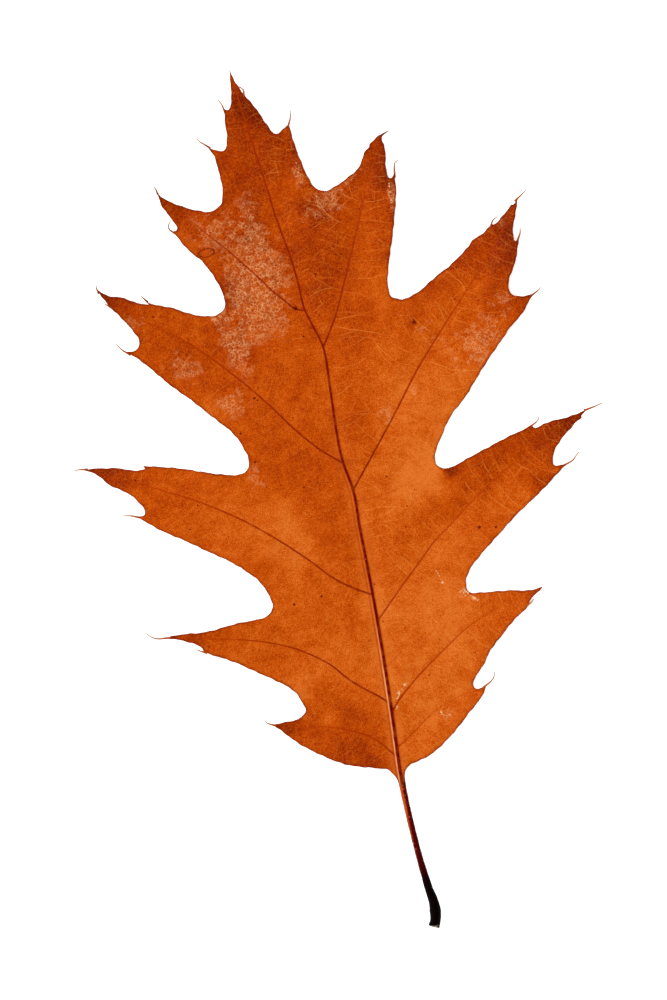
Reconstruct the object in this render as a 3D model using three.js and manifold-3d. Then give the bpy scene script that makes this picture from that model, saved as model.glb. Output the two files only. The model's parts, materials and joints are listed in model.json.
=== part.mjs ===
// A dry autumn leaf of a red oak, lying on a table with its upper face up. Millimetres, +Z up.
// +Y runs from the broken end of the stalk to the tip of the leaf, and +X to the right.
// The leaf grew as one piece, so it is one solid: blade, veins, stalk and bristles together.
// It is drawn with (0, 0) where the blade meets the stalk, and moved at the end
// so that the origin is at the middle of its outline, on the table.
import * as THREE from "three";
import { mergeVertices } from "three/addons/utils/BufferGeometryUtils.js";
import Module from "manifold-3d";

const wasm = await Module();
wasm.setup();

const BLADE_THICKNESS = 0.3;
const BLADE_HEIGHT = 1.08; // of the middle of the blade beside the midrib, over the table
const GRID = 7; // side of the squares that the blade's surface is bent in
const MARGIN_TURN = 14; // degrees that the outline turns at each of its corners, where it is round
const MARGIN_STEP = 6; // the longest straight piece that it is made of

// How the dry blade bends. The edge of each half has a wave along it: the widest lobe comes
// down to the table, and the lobes above and below that one stand clear of it.
const MIDDLE_X = 3;
const HALF_WIDTH = 56.5; // from there to the tips of the widest lobes
const EDGE_DROP = BLADE_HEIGHT - BLADE_THICKNESS / 2;
const EDGE_LIFT = 5.6;
const WAVE_LENGTH = 78;
const LEFT_LOW_Y = 81;
const RIGHT_LOW_Y = 68;
const TIP_BEND_Y = 105; // past this the end of the blade rises
const TIP_LIFT = 4.2;
const TIP_Y = 160.2;
const STALK_BEND_Y = 12; // below this the stalk rises
const STALK_LIFT = 4.6;
const STALK_END_Y = -35.4;

// The midrib and the stalk are one rod, and each row is x, y and radius. It bends a little
// wherever a big side vein leaves it.
const MIDRIB_DROP = 0.6; // how far it hangs below the middle of the blade, for a radius of 1
const MIDRIB = [
  [-0.6, -35.4, 1.25],
  [0.1, -34, 1.2],
  [0.52, -32, 1.26],
  [0.62, -30, 1.1],
  [0.27, -27, 0.92],
  [0.12, -24.5, 0.84],
  [-0.12, -20, 0.74],
  [-0.22, -12, 0.71],
  [-0.12, -5, 0.74],
  [0.2, 0, 0.86],
  [1.2, 10, 0.84],
  [2.1, 20, 0.8],
  [3.3, 37, 0.76],
  [4.6, 61, 0.72],
  [3.8, 70, 0.68],
  [4.9, 85, 0.62],
  [5.6, 95.5, 0.56],
  [3.5, 105, 0.5],
  [3.2, 115, 0.44],
  [1.9, 128, 0.38],
  [1.1, 140, 0.32],
  [0.4, 150, 0.26],
  [0, 157, 0.2],
];

// Side veins, from the midrib to the lobe or tooth that each one feeds.
const VEIN_DROP = 0.92; // the same for these, which stand out of the underside only
const VEIN_RADIUS = [0.42, 0.16]; // where it leaves the midrib, and at its end
const VEINS = [
  [[0.6, 3], [-4, 8.2], [-9, 11.4], [-14.5, 13.4], [-22, 15.6]],
  [[1.5, 14.9], [-5, 21], [-9, 26], [-18.6, 33.1], [-30, 37.3], [-41, 40.2]],
  [[3.1, 39.2], [-2.5, 43.2], [-12, 53.7], [-22, 63], [-35, 71.8], [-49, 79.7]],
  [[3.8, 69.4], [-2, 75], [-12, 89.8], [-24, 103.9], [-38, 117]],
  [[3.5, 104.2], [-2, 109.2], [-8, 119.5], [-14, 127.5], [-20.8, 135.4]],
  [[1.5, 133], [-3, 139], [-7.8, 143.2]],
  [[1, 5.3], [8, 9.5], [14, 12], [21, 13]],
  [[1.5, 13.3], [7, 18], [18, 25.2], [26, 29], [38, 31.6]],
  [[3.2, 33.6], [12, 41.6], [25, 51.3], [40, 59.9], [56, 67]],
  [[4.8, 63], [16, 75.3], [28.5, 88.8], [40, 100], [53, 114]],
  [[28.5, 88.8], [36, 89.8], [44, 92.4], [51.5, 95]],
  [[5.6, 95.5], [11.3, 104], [18.5, 119.5], [27.5, 135]],
  [[2, 129.8], [5, 132.6], [9, 143]],
];

// The margin goes up the left side, from the stalk to the tip, and down the right side. Each
// row is one smooth stretch between two points, and a lobe or a tooth ends where two rows meet.
const LEFT_MARGIN = [
  [[-0.75, -3.4], [-1.1, -1.3], [-2.4, 0.7], [-5, 1.6], [-10, 3.4], [-15, 6.4], [-20, 10.7], [-25, 16.4]],
  [[-25, 16.4], [-19, 16.4], [-17.2, 17.6], [-17.5, 20], [-18.6, 22.6], [-22.5, 26.1], [-30, 31.9], [-36, 35.7]],
  [[-36, 35.7], [-36.2, 36.7], [-41.5, 40.1], [-43.8, 40.8]],
  [[-43.8, 40.8], [-40, 40.7], [-35, 40.05], [-27, 40.15], [-20.2, 40.3], [-18.8, 41.8], [-18.9, 44.3]],
  [[-18.9, 44.3], [-20.5, 48.2], [-23.5, 51.8], [-30, 57.3], [-40, 65.1], [-43.3, 68.3]],
  [[-43.3, 68.3], [-41.8, 68.3], [-41.4, 69.4], [-43.6, 73.2], [-47.9, 76.9], [-49.8, 79.4], [-52.4, 81.4]],
  [[-52.4, 81.4], [-50, 81], [-47, 80.4], [-45, 80], [-41.5, 78.5], [-39.2, 78.3]],
  [[-39.2, 78.3], [-39.5, 79.1]],
  [[-39.5, 79.1], [-35, 77.8], [-27.5, 75], [-22.5, 73], [-19, 72.2], [-16.8, 73.3], [-16.3, 75.8]],
  [[-16.3, 75.8], [-17.7, 80.2], [-21.5, 85.5], [-25, 89.9], [-30, 95.6], [-35, 102.3], [-36.9, 104.2]],
  [[-36.9, 104.2], [-34.8, 104.5], [-33.8, 106.3], [-35.2, 110], [-38.4, 115.2], [-40.1, 119.2]],
  [[-40.1, 119.2], [-38.5, 117.9], [-35, 116.4], [-32.2, 114.5], [-29.8, 113.6]],
  [[-29.8, 113.6], [-30.3, 114.8]],
  [[-30.3, 114.8], [-29.2, 113.7], [-25, 111.7], [-20, 108.9], [-16, 107.8], [-13.7, 108.9], [-13.2, 111.6]],
  [[-13.2, 111.6], [-14, 115.5], [-15.9, 119.8], [-18.3, 123.1], [-20.7, 127.9]],
  [[-20.7, 127.9], [-19.8, 128.3], [-20.3, 130.5], [-21.8, 134.2], [-22.2, 137.6]],
  [[-22.2, 137.6], [-21.2, 136], [-18.5, 133.7], [-14.5, 131.5], [-11.2, 130.5], [-8.8, 131.8], [-7.8, 135]],
  [[-7.8, 135], [-7.8, 138.5], [-7.9, 142], [-8.9, 144.7]],
  [[-8.9, 144.7], [-7.2, 143.4], [-5.4, 143], [-4.3, 145], [-3.9, 149], [-3.4, 151.6]],
  [[-3.4, 151.6], [-2.5, 151.4], [-1.4, 153], [-0.8, 156.3], [-0.2, 160.2]],
];
const RIGHT_MARGIN = [
  [[-0.2, 160.2], [0.5, 157], [1.6, 154.2], [3.3, 151], [4.9, 146.7], [6.5, 143.9], [9.8, 145.2]],
  [[9.8, 145.2], [9.9, 142.5], [10.6, 136.5], [11.2, 132.8], [12.5, 129.9], [14.5, 128.9]],
  [[14.5, 128.9], [17, 129.6], [20, 130.8], [22.9, 132.6], [24.5, 135.1], [27.3, 137.4], [30.2, 138.5]],
  [[30.2, 138.5], [29.2, 136.8], [28.5, 130.5], [28.9, 128.3], [30.1, 129]],
  [[30.1, 129], [29.5, 125.3], [28.3, 121], [24.2, 109.8], [22.9, 105.8], [23, 102.9], [25.2, 101.5]],
  [[25.2, 101.5], [29, 102.3], [34, 105], [37.5, 106.5], [43.2, 110.4], [46, 111.6], [48.2, 112.9]],
  [[48.2, 112.9], [48.9, 112.9], [52, 115], [55.2, 117.2]],
  [[55.2, 117.2], [55, 116], [52.4, 109.6], [52.6, 108.1], [53.5, 108.8]],
  [[53.5, 108.8], [52.7, 106.3], [51.4, 103.4], [49.3, 100.3], [48.8, 97.5], [51, 96], [53.9, 95.9]],
  [[53.9, 95.9], [50.2, 92], [47, 89.8], [43.3, 86.4], [38, 81.5], [34, 77.3], [30, 74.2], [26.7, 70]],
  [[26.7, 70], [24.4, 66.7], [24.1, 63.9], [26.4, 62.8], [30, 63.5], [36, 65.2], [42, 66.6], [46.4, 67.5]],
  [[46.4, 67.5], [47.2, 66.9], [50, 67.4], [55, 67.6], [59.5, 68.2]],
  [[59.5, 68.2], [57.5, 67.2], [55, 64.9], [52, 62.8], [49.9, 60.3], [49.5, 57.9], [52, 57.4]],
  [[52, 57.4], [50, 56.1], [46, 53.3], [40, 49.9], [36, 47.2], [31.5, 44.2], [26, 40]],
  [[26, 40], [24.3, 37.4], [24.4, 35], [28, 34], [34, 33], [38, 32.1], [40.5, 32.3]],
  [[40.5, 32.3], [38.3, 30.4], [35.8, 28.3], [32.5, 26.4], [29, 23.5], [26, 21.2]],
  [[26, 21.2], [23.5, 18.1], [20.7, 15.1], [20.9, 13.5], [23, 13.7]],
  [[23, 13.7], [21.4, 11.2], [18, 8.6], [12.5, 4.3], [8.5, 2.1], [5, 1], [2.6, 0.5], [1, -1.2], [0.5, -3.4]],
];

// Each lobe and tooth ends in a dry bristle, given by its root, its middle and its end.
const BRISTLE_RADIUS = [0.22, 0.08];
const BRISTLE_ROOT = 0.7; // how far it runs back into the blade
const BRISTLES = [
  [[-25, 16.4], [-25.9, 16.9], [-26.5, 17.7]],
  [[-36, 35.7], [-36.7, 36.1], [-37.5, 36.7]],
  [[-43.8, 40.8], [-45.6, 41.2], [-47.6, 42.9]],
  [[-43.3, 68.3], [-45, 68.9], [-46.6, 69.4]],
  [[-52.4, 81.4], [-53.5, 81.6], [-54.6, 81.7]],
  [[-36.9, 104.2], [-37.9, 105.2], [-38.9, 106.8]],
  [[-38.2, 115], [-38.8, 115.5], [-39.3, 116]],
  [[-40.1, 119.2], [-40.2, 119.8], [-40.1, 120.6]],
  [[-30.2, 114.6], [-30.6, 115.2], [-31.1, 115.9]],
  [[-20.7, 127.9], [-21.5, 129.3], [-20.9, 130.5]],
  [[-22.2, 137.6], [-22.3, 138.2], [-22.7, 138.9]],
  [[-8.9, 144.7], [-9.8, 145.5], [-10.9, 147]],
  [[-3.4, 151.6], [-3.6, 152.6], [-4.2, 154.2]],
  [[1.7, 154.1], [1.6, 154.9], [1.1, 155.7]],
  [[9.8, 145.2], [10.4, 146.5], [10.9, 148.5]],
  [[30.1, 129], [30.5, 130.9], [31.6, 131.9]],
  [[48.2, 112.9], [49, 113.8], [50.1, 114.2]],
  [[55.2, 117.2], [56.4, 117.9], [57.7, 118.7]],
  [[53.5, 108.8], [54, 109.6], [54.3, 110.8]],
  [[53.9, 95.9], [54.8, 96.3], [55.7, 96.9]],
  [[46.4, 67.5], [47.8, 68], [48.7, 69]],
  [[59.5, 68.2], [61, 68.4], [63.2, 68.8]],
  [[52, 57.4], [54, 58.1], [55.6, 59.4]],
  [[36.8, 29.2], [37.4, 29.5], [38, 30]],
  [[23, 13.7], [25, 14.9], [25.7, 16.5]],
];

// A closed three.js geometry as a manifold-3d solid.
function solid(geometry) {
  const bare = new THREE.BufferGeometry()
    .setAttribute("position", geometry.getAttribute("position"))
    .setIndex(geometry.getIndex());
  const merged = mergeVertices(bare, 1e-4);
  return new wasm.Manifold(
    new wasm.Mesh({
      numProp: 3,
      vertProperties: merged.attributes.position.array,
      triVerts: new Uint32Array(merged.index.array),
    }),
  );
}

// A manifold-3d solid as a three.js geometry, with each face shaded flat.
function geometryOf(made) {
  const mesh = made.getMesh();
  const geometry = new THREE.BufferGeometry()
    .setAttribute("position", new THREE.BufferAttribute(mesh.vertProperties, 3))
    .setIndex(new THREE.BufferAttribute(mesh.triVerts, 1))
    .toNonIndexed();
  geometry.computeVertexNormals();
  return geometry;
}

// Height of the middle of the blade, or of the middle of the stalk's and veins' fixings to it.
function surfaceHeight(x, y) {
  const spread = Math.min(1, Math.abs(x - MIDDLE_X) / HALF_WIDTH);
  const lowY = x < MIDDLE_X ? LEFT_LOW_Y : RIGHT_LOW_Y;
  const wave = 0.5 - 0.5 * Math.cos((2 * Math.PI * (y - lowY)) / WAVE_LENGTH);
  const pastTipBend = Math.max(0, y - TIP_BEND_Y) / (TIP_Y - TIP_BEND_Y);
  const pastStalkBend = Math.max(0, STALK_BEND_Y - y) / (STALK_BEND_Y - STALK_END_Y);
  return (
    BLADE_HEIGHT +
    THREE.MathUtils.lerp(-EDGE_DROP, EDGE_LIFT, wave) * spread ** 2 +
    TIP_LIFT * pastTipBend ** 2 +
    STALK_LIFT * pastStalkBend ** 2
  );
}

// One smooth stretch of the margin, as corners close together where it turns and far apart
// where it is straight. Its last point is left to the stretch after it.
function stretch(points) {
  const curve = new THREE.CatmullRomCurve3(points.map(([x, y]) => new THREE.Vector3(x, y, 0)));
  const steps = Math.ceil(curve.getLength() / 0.25);
  const corners = [curve.getPointAt(0)];
  let turned = 0;
  for (let i = 1; i < steps - 2; i++) {
    const here = curve.getPointAt(i / steps);
    turned += curve.getTangentAt(i / steps).angleTo(curve.getTangentAt((i + 1) / steps));
    const far = here.distanceTo(corners.at(-1)) > MARGIN_STEP;
    if (far || turned > THREE.MathUtils.degToRad(MARGIN_TURN)) {
      corners.push(here);
      turned = 0;
    }
  }
  return corners.map((p) => new THREE.Vector2(p.x, p.y));
}

// The blade: a thin sheet bent to the surface's height, cut out with the margin.
function blade() {
  const [left, right, bottom, top] = [-57, 66, -6, 165];
  const sheet = new THREE.BoxGeometry(
    right - left,
    top - bottom,
    BLADE_THICKNESS,
    Math.round((right - left) / GRID),
    Math.round((top - bottom) / GRID),
    1,
  ).translate((left + right) / 2, (bottom + top) / 2, 0);
  const place = sheet.getAttribute("position");
  for (let i = 0; i < place.count; i++) {
    place.setZ(i, place.getZ(i) + surfaceHeight(place.getX(i), place.getY(i)));
  }
  const outline = new THREE.Shape([...LEFT_MARGIN, ...RIGHT_MARGIN].flatMap(stretch));
  const cutter = new THREE.ExtrudeGeometry(outline, { depth: 60, bevelEnabled: false });
  return solid(sheet).intersect(solid(cutter.translate(0, 0, -20)));
}

// A round rod that follows the leaf's surface and hangs below the middle of the blade by a
// share of its radius. Each point of its course is x, y and radius.
function rod(course, drop, sides, steps) {
  const curve = new THREE.CatmullRomCurve3(course.map((p) => new THREE.Vector3(...p)));
  const centre = (share) => {
    const p = curve.getPointAt(Math.min(1, Math.max(0, share)));
    return new THREE.Vector3(p.x, p.y, surfaceHeight(p.x, p.y) - drop * p.z);
  };
  const geometry = new THREE.CylinderGeometry(1, 1, 1, sides, steps);
  const place = geometry.getAttribute("position");
  const up = new THREE.Vector3(0, 0, 1);
  for (let i = 0; i < place.count; i++) {
    const share = place.getY(i) + 0.5;
    const radius = curve.getPointAt(share).z;
    const along = centre(share + 0.01).sub(centre(share - 0.01)).normalize();
    const across = along.clone().cross(up).normalize();
    const point = centre(share)
      .addScaledVector(across, place.getX(i) * radius)
      .addScaledVector(across.clone().cross(along), place.getZ(i) * radius);
    place.setXYZ(i, point.x, point.y, point.z);
  }
  return solid(geometry);
}

// Points with a radius that tapers evenly from the first to the last.
function tapered(points, [start, end]) {
  return points.map(([x, y], i) => [x, y, start + ((end - start) * i) / (points.length - 1)]);
}

function bristle([root, middle, end]) {
  const back = new THREE.Vector2(root[0] - middle[0], root[1] - middle[1]).setLength(BRISTLE_ROOT);
  const inside = [root[0] + back.x, root[1] + back.y];
  return rod(tapered([inside, root, middle, end], BRISTLE_RADIUS), 0, 4, 3);
}

// The midrib's underside is worn flat where the leaf lies on it.
function table() {
  return solid(new THREE.BoxGeometry(300, 300, 20).translate(0, 60, -10));
}

const whole = [
  rod(MIDRIB, MIDRIB_DROP, 8, 36),
  ...VEINS.map((points) => rod(tapered(points, VEIN_RADIUS), VEIN_DROP, 5, 6)),
  ...BRISTLES.map(bristle),
]
  .reduce((leaf, piece) => leaf.add(piece), blade())
  .subtract(table());

const leaf = new THREE.Mesh(
  geometryOf(whole),
  new THREE.MeshStandardMaterial({ color: 0xc4560f, roughness: 0.5, metalness: 0 }),
);
leaf.name = "oak_leaf";
leaf.geometry.computeBoundingBox();
const box = leaf.geometry.boundingBox;
leaf.position.set(-(box.min.x + box.max.x) / 2, -(box.min.y + box.max.y) / 2, -box.min.z);

const group = new THREE.Group();
group.add(leaf);
export default group;
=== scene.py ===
"""A dry autumn leaf of a red oak, lying on a pale table with its upper face up.

The leaf is drawn in millimetres, with (0, 0) where the blade meets the stalk, and moved to the
frame of the CAD model when its mesh is made.
"""

import json
import math

import bpy
import numpy as np
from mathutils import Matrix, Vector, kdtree
from mathutils.geometry import delaunay_2d_cdt

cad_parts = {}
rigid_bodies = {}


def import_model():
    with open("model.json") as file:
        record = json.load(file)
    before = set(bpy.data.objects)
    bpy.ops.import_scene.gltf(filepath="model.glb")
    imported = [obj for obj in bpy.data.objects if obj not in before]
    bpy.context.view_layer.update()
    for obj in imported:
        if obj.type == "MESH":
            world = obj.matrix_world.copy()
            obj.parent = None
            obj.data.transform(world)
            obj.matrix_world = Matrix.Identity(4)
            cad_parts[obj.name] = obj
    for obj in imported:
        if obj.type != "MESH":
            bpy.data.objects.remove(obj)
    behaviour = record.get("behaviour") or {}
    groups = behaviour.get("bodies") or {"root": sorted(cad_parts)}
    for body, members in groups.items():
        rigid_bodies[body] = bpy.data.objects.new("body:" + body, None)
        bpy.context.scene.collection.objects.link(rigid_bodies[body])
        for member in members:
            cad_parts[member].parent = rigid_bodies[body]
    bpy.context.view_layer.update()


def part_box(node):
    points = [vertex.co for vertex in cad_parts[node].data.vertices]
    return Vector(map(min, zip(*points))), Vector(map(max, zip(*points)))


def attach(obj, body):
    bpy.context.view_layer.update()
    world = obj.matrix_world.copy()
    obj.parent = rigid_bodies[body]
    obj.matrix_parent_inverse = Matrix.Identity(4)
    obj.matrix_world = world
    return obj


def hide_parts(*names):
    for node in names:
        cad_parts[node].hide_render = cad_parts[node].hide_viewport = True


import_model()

MM = 0.001

# ---------------------------------------------------------------- the leaf's measurements

BLADE_THICKNESS = 0.26
BLADE_HEIGHT = 1.1  # of the middle of the blade beside the midrib, over the table

# How the dry blade bends. The edge of each half has a wave along it: the widest lobe comes down
# to the table, and the lobes above and below that one stand clear of it.
MIDDLE_X = 3
HALF_WIDTH = 56.5
EDGE_DROP = BLADE_HEIGHT - BLADE_THICKNESS / 2
EDGE_LIFT = 5.6
WAVE_LENGTH = 78
LEFT_LOW_Y = 81
RIGHT_LOW_Y = 68
TIP_BEND_Y = 105
TIP_LIFT = 4.2
TIP_Y = 160.2
STALK_BEND_Y = 12
STALK_LIFT = 4.6
STALK_END_Y = -35.4
PUCKER = 0.25  # how far the blade swells between the side veins
PUCKER_WIDTH = 2.6
PUCKER_SINK = 0.1  # how far it sinks beside the veins
THIN_EDGE = 0.3  # how far in from the margin the blade is thinner
THIN_SHARE = 0.6  # how thick it is at the margin itself, as a share of BLADE_THICKNESS
GROOVE_DEPTH = 0.07  # of the groove in the upper face along a side vein
GROOVE_WIDTH = 0.28
CROSS_RISE = 0.025  # how far a cross vein stands out of the upper face
LEAST_HEIGHT = 0.01  # of the lower face over the table
LEAST_THICKNESS = 0.12
RIPPLES = [  # height, wave length, direction in degrees and phase of the blade's small waves
    (0.12, 23, 20, 0.4),
    (0.1, 15, 115, 2.1),
    (0.07, 9.5, 65, 4.0),
    (0.04, 5.2, 150, 1.3),
    (0.03, 3.4, 35, 5.2),
]

MIDRIB_DROP = 0.6  # how far the midrib hangs below the middle of the blade, for a radius of 1
MIDRIB = [  # x, y and radius, from the end of the stalk to the tip of the leaf
    (-0.6, -35.4, 1.25), (0.1, -34, 1.2), (0.52, -32, 1.26), (0.62, -30, 1.1), (0.27, -27, 0.92),
    (0.12, -24.5, 0.84), (-0.12, -20, 0.74), (-0.22, -12, 0.71), (-0.12, -5, 0.74),
    (0.2, 0, 0.86), (1.2, 10, 0.84), (2.1, 20, 0.8), (2.7, 27.5, 0.78), (3.35, 37, 0.76),
    (3.8, 46, 0.74), (4.2, 55, 0.73), (4.7, 62.3, 0.72), (3.9, 70, 0.68), (4.1, 76, 0.66),
    (4.9, 85, 0.62), (5.65, 95.3, 0.56), (4.4, 101, 0.52), (3.55, 105, 0.5), (3.6, 110, 0.48),
    (3.3, 116, 0.44), (2.7, 121.5, 0.41), (2.05, 127.5, 0.38), (1.9, 131, 0.36), (1.3, 139, 0.32),
    (0.6, 149, 0.26), (0, 157, 0.2),
]

# Side veins from the midrib to the lobe or tooth that each one feeds. Each row is x and y.
VEIN_DROP = 0.92
LEFT_VEINS = [
    [(0.5, 2.6), (-0.8, 4.4), (-2.8, 7.1), (-5.2, 9.2), (-8.6, 11.1), (-13.1, 13), (-18.1, 14.1),
     (-22.5, 15.7)],
    [(1.6, 14.6), (0, 16.5), (-3.9, 20), (-6.5, 22.7), (-9.2, 26.2), (-14.2, 30.4), (-19.2, 33.3),
     (-26, 36),
     (-33, 38), (-41, 40.2)],
    [(3.5, 39.2), (0, 41.5), (-2.5, 43.4), (-5, 45.8), (-8.1, 49.6), (-13.9, 55.8), (-20, 61.5),
     (-25, 65.4),
     (-30, 68.9), (-35.4, 72.1), (-49, 79.7)],
    [(4, 69.2), (0, 73), (-1.9, 75.2), (-5, 79.4), (-10, 87.1), (-15, 93.8), (-20, 99.8), (-25, 104.8),
     (-30, 108.8), (-38, 117)],
    [(3.7, 104.2), (1.5, 105.2), (0, 107.1), (-2.3, 110), (-5, 114.2), (-10, 121.3), (-14.5, 127),
     (-20.8, 135.4)],
    [(1.5, 133), (-3, 139), (-7.8, 143.2)],
]
RIGHT_VEINS = [
    [(0.8, 4.9), (5, 7.3), (10.4, 10.6), (15.8, 12.6), (21, 13)],
    [(1.5, 12.8), (3.5, 15), (5.8, 16.9), (10.4, 20.2), (16.5, 24), (22.7, 27.5), (28.9, 29.6), (38, 31.6)],
    [(3.2, 33.4), (5, 35), (10.2, 39.6), (15.4, 44), (19.2, 47.3), (24.6, 50.8), (30, 54.4), (35.8, 57.7),
     (41.5, 60.7), (56, 67)],
    [(4.8, 63), (7.7, 66.2), (12.7, 71.7), (17.7, 77.3), (25, 85.8), (35.8, 96.5), (41.5, 101.9),
     (46.2, 106.5),
     (53, 114)],
    [(5.6, 95.3), (7.7, 98.1), (10.2, 101.9), (13.1, 107.3), (19.2, 119.2), (22.7, 126.5), (27.5, 135)],
    [(2, 129.6), (3.6, 130.5), (5, 132.4), (9, 143)],
]
# Thinner veins that leave the midrib or a side vein and fade out in the blade.
FINE_VEINS = [
    [(28.5, 88.8), (32.7, 89), (36.5, 90), (40.4, 91.5), (45, 92.9), (51.5, 95)],
    [(4.8, 60.3), (10, 60.2), (15, 61), (20, 62.8), (25, 66)],
    [(3.7, 68.3), (-3, 68.8), (-6.2, 70), (-10, 71.7)],
    [(11.3, 104), (12.6, 103.4), (14.4, 103.6)],
    [(20.5, 121.5), (23, 121.7), (26, 122.8)],
    [(-19.3, 99), (-22, 98.4), (-25.5, 98.7)],
    [(3.9, 47.3), (-2, 49), (-6, 51.5)],
    [(2.3, 22.6), (8, 26.5), (12, 30.5)],
    [(4.6, 80.5), (9, 84), (12.5, 89)],
    [(4.4, 79), (1, 83), (-2, 88.6)],
    [(3.7, 109), (6.5, 112.5), (8.6, 117.5)],
    [(3.2, 117), (0.5, 121), (-1.5, 126)],
    [(24.6, 50.8), (26.2, 55), (30, 60)],
    [(41.5, 60.7), (40.6, 63.4), (43.5, 66)],
    [(-8.1, 49.6), (-9.5, 45.5), (-13, 42)],
    [(-20, 61.5), (-21.5, 66), (-25, 71.5)],
    [(-35.4, 72.1), (-36.5, 69.5), (-40.5, 68)],
]

# How dark each vein looks, from 0 to 1, and how wide its paint is, from its start to its end.
MIDRIB_DARKS = (1, 1, 1, 1, 1, 0.95, 0.9, 0.8, 0.65, 0.35)
MIDRIB_WIDTHS = (0.36, 0.36, 0.34, 0.31, 0.28, 0.24, 0.2, 0.16, 0.12)
LEFT_DARKS = (0.8, 0.66, 0.46, 0.15)
RIGHT_DARKS = (0.8, 0.62, 0.42, 0.15)
SIDE_WIDTHS = (0.18, 0.15, 0.11)
SIDE_RADII = (0.42, 0.14)
FINE_DARKS = (0.26, 0.18, 0)
FINE_WIDTHS = (0.15, 0.12)
FINE_RADII = (0.16, 0.06)
VEIN_SHARES = {0: 0.7, -1: 0.35}  # the lowest and the top pair show less than the others
FAINT_RIGHT_VEINS = 3  # and so do this many of the lower ones on the right
FAINT_SHARE = 0.65

# The margin goes up the left side, from the stalk to the tip, and down the right side. Each row
# is one smooth stretch that starts where the row before ends, at the end of a lobe or a tooth.
MARGIN = [
    [(-0.75, -3.4), (-1.1, -1.3), (-2.4, 0.7), (-5, 1.6), (-10, 3.4), (-15, 6.4), (-20, 10.7), (-25, 16.4)],
    [(-19, 16.4), (-17.2, 17.6), (-17.5, 20), (-18.6, 22.6), (-22.5, 26.1), (-30, 31.9), (-36, 35.7)],
    [(-36.2, 36.7), (-41.5, 40), (-45.6, 41.1)],
    [(-40, 40.7), (-35, 40.05), (-27, 40.15), (-20.2, 40.3), (-18.8, 41.8), (-18.9, 44.3)],
    [(-20.5, 48.2), (-23.5, 51.8), (-30, 57.3), (-40, 65.1), (-43.6, 68.5)],
    [(-41.8, 68.3), (-41.4, 69.4), (-43.6, 73.2), (-47.9, 76.9), (-49.8, 79.4), (-53, 81.5)],
    [(-50, 81), (-47, 80.4), (-45, 80), (-41.5, 78.5), (-39.2, 78.3)],
    [(-39.5, 79.1)],
    [(-35, 77.8), (-27.5, 75), (-22.5, 73), (-19, 72.2), (-16.8, 73.3), (-16.3, 75.8)],
    [(-17.7, 80.2), (-21.5, 85.5), (-25, 89.9), (-30, 95.9), (-35, 102.5), (-37.2, 104.6)],
    [(-34.8, 104.5), (-33.8, 106.3), (-35.2, 110), (-38.4, 115.2), (-40.2, 119.6)],
    [(-38.5, 117.9), (-35, 116.4), (-32.2, 114.5), (-29.8, 113.6)],
    [(-30.4, 115)],
    [(-29.2, 113.7), (-25, 111.7), (-20, 108.9), (-16, 107.8), (-13.7, 108.9), (-13.2, 111.6)],
    [(-14, 115.5), (-15.9, 119.8), (-18.3, 123.1), (-20.8, 128.1)],
    [(-19.8, 128.3), (-20.3, 130.5), (-21.8, 134.2), (-22.3, 138)],
    [(-21.2, 136), (-18.5, 133.7), (-14.5, 131.5), (-11.2, 130.5), (-8.8, 131.8), (-7.8, 135)],
    [(-7.8, 138.5), (-7.9, 142), (-9.1, 144.9)],
    [(-7.2, 143.4), (-5.4, 143), (-4.3, 145), (-3.9, 149), (-3.4, 151.9)],
    [(-2.5, 151.4), (-1.4, 153), (-0.8, 156.3), (-0.2, 160.2)],
    [(0.5, 157), (1.6, 154.2), (3.3, 151), (4.9, 146.7), (6.5, 143.9), (9.9, 145.4)],
    [(9.9, 142.5), (10.6, 136.5), (11.2, 132.8), (12.5, 129.9), (14.5, 128.9)],
    [(17, 129.6), (20, 130.8), (22.9, 132.6), (24.5, 135.1), (26, 136.2)],
    [(26.2, 136.8)],
    [(27.3, 137.4), (28.8, 138.2), (30.4, 138.5)],
    [(29.4, 137.7), (29.1, 136.9), (29.4, 136)],
    [(29.1, 133.5), (28.5, 130.5), (28.9, 128.3), (30.2, 129.2)],
    [(29.5, 125.3), (28.3, 121), (24.2, 109.8), (22.9, 105.8), (23, 102.9), (25.2, 101.5)],
    [(29, 102.3), (34, 105), (37.5, 106.5), (41.6, 109.1), (43.4, 110.7)],
    [(46, 111.6), (48.4, 113.1)],
    [(48.9, 112.9), (52, 115), (53.6, 116.3)],
    [(53.9, 116.1), (55.8, 117.6)],
    [(55.1, 116.8), (54.6, 115.2), (52.4, 109.6), (52.6, 108.1), (53.6, 109)],
    [(52.7, 106.3), (51.4, 103.4), (49.3, 100.3), (48.8, 97.5), (51, 96), (54.2, 96)],
    [(53.1, 95.2), (50.2, 92), (47, 89.8), (43.3, 86.4), (38, 81.5), (34, 77.3), (30, 74.2), (26.7, 70)],
    [(24.4, 66.7), (24.1, 63.9), (26.4, 62.8), (30, 63.5), (36, 65.2), (42, 66.6), (46.7, 67.6)],
    [(47.2, 66.9), (50, 67.4), (55, 67.6), (60.2, 68.3)],
    [(58.8, 67.7), (57.9, 67.1)],
    [(57.9, 66.6), (56.9, 66.2), (55, 64.9), (52, 62.8), (49.9, 60.3), (49.5, 57.9), (52.3, 57.5)],
    [(50, 56.1), (46, 53.3), (40, 49.9), (36, 47.2), (31.5, 44.2), (26, 40)],
    [(24.3, 37.4), (24.4, 35), (28, 34), (34, 33), (38, 32.1), (40.7, 32.3)],
    [(39.6, 31.4), (38, 30.6), (36.8, 29.5)],
    [(37.2, 29.3), (35.8, 28.3), (32.5, 26.4), (29, 23.5), (26, 21.2)],
    [(23.5, 18.1), (20.7, 15.1), (20.9, 13.5), (23.4, 13.8)],
    [(21.4, 11.2), (18, 8.6), (12.5, 4.3), (8.5, 2.1), (5, 1), (2.6, 0.5), (1, -1.2), (0.5, -3.4)],
]

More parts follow.
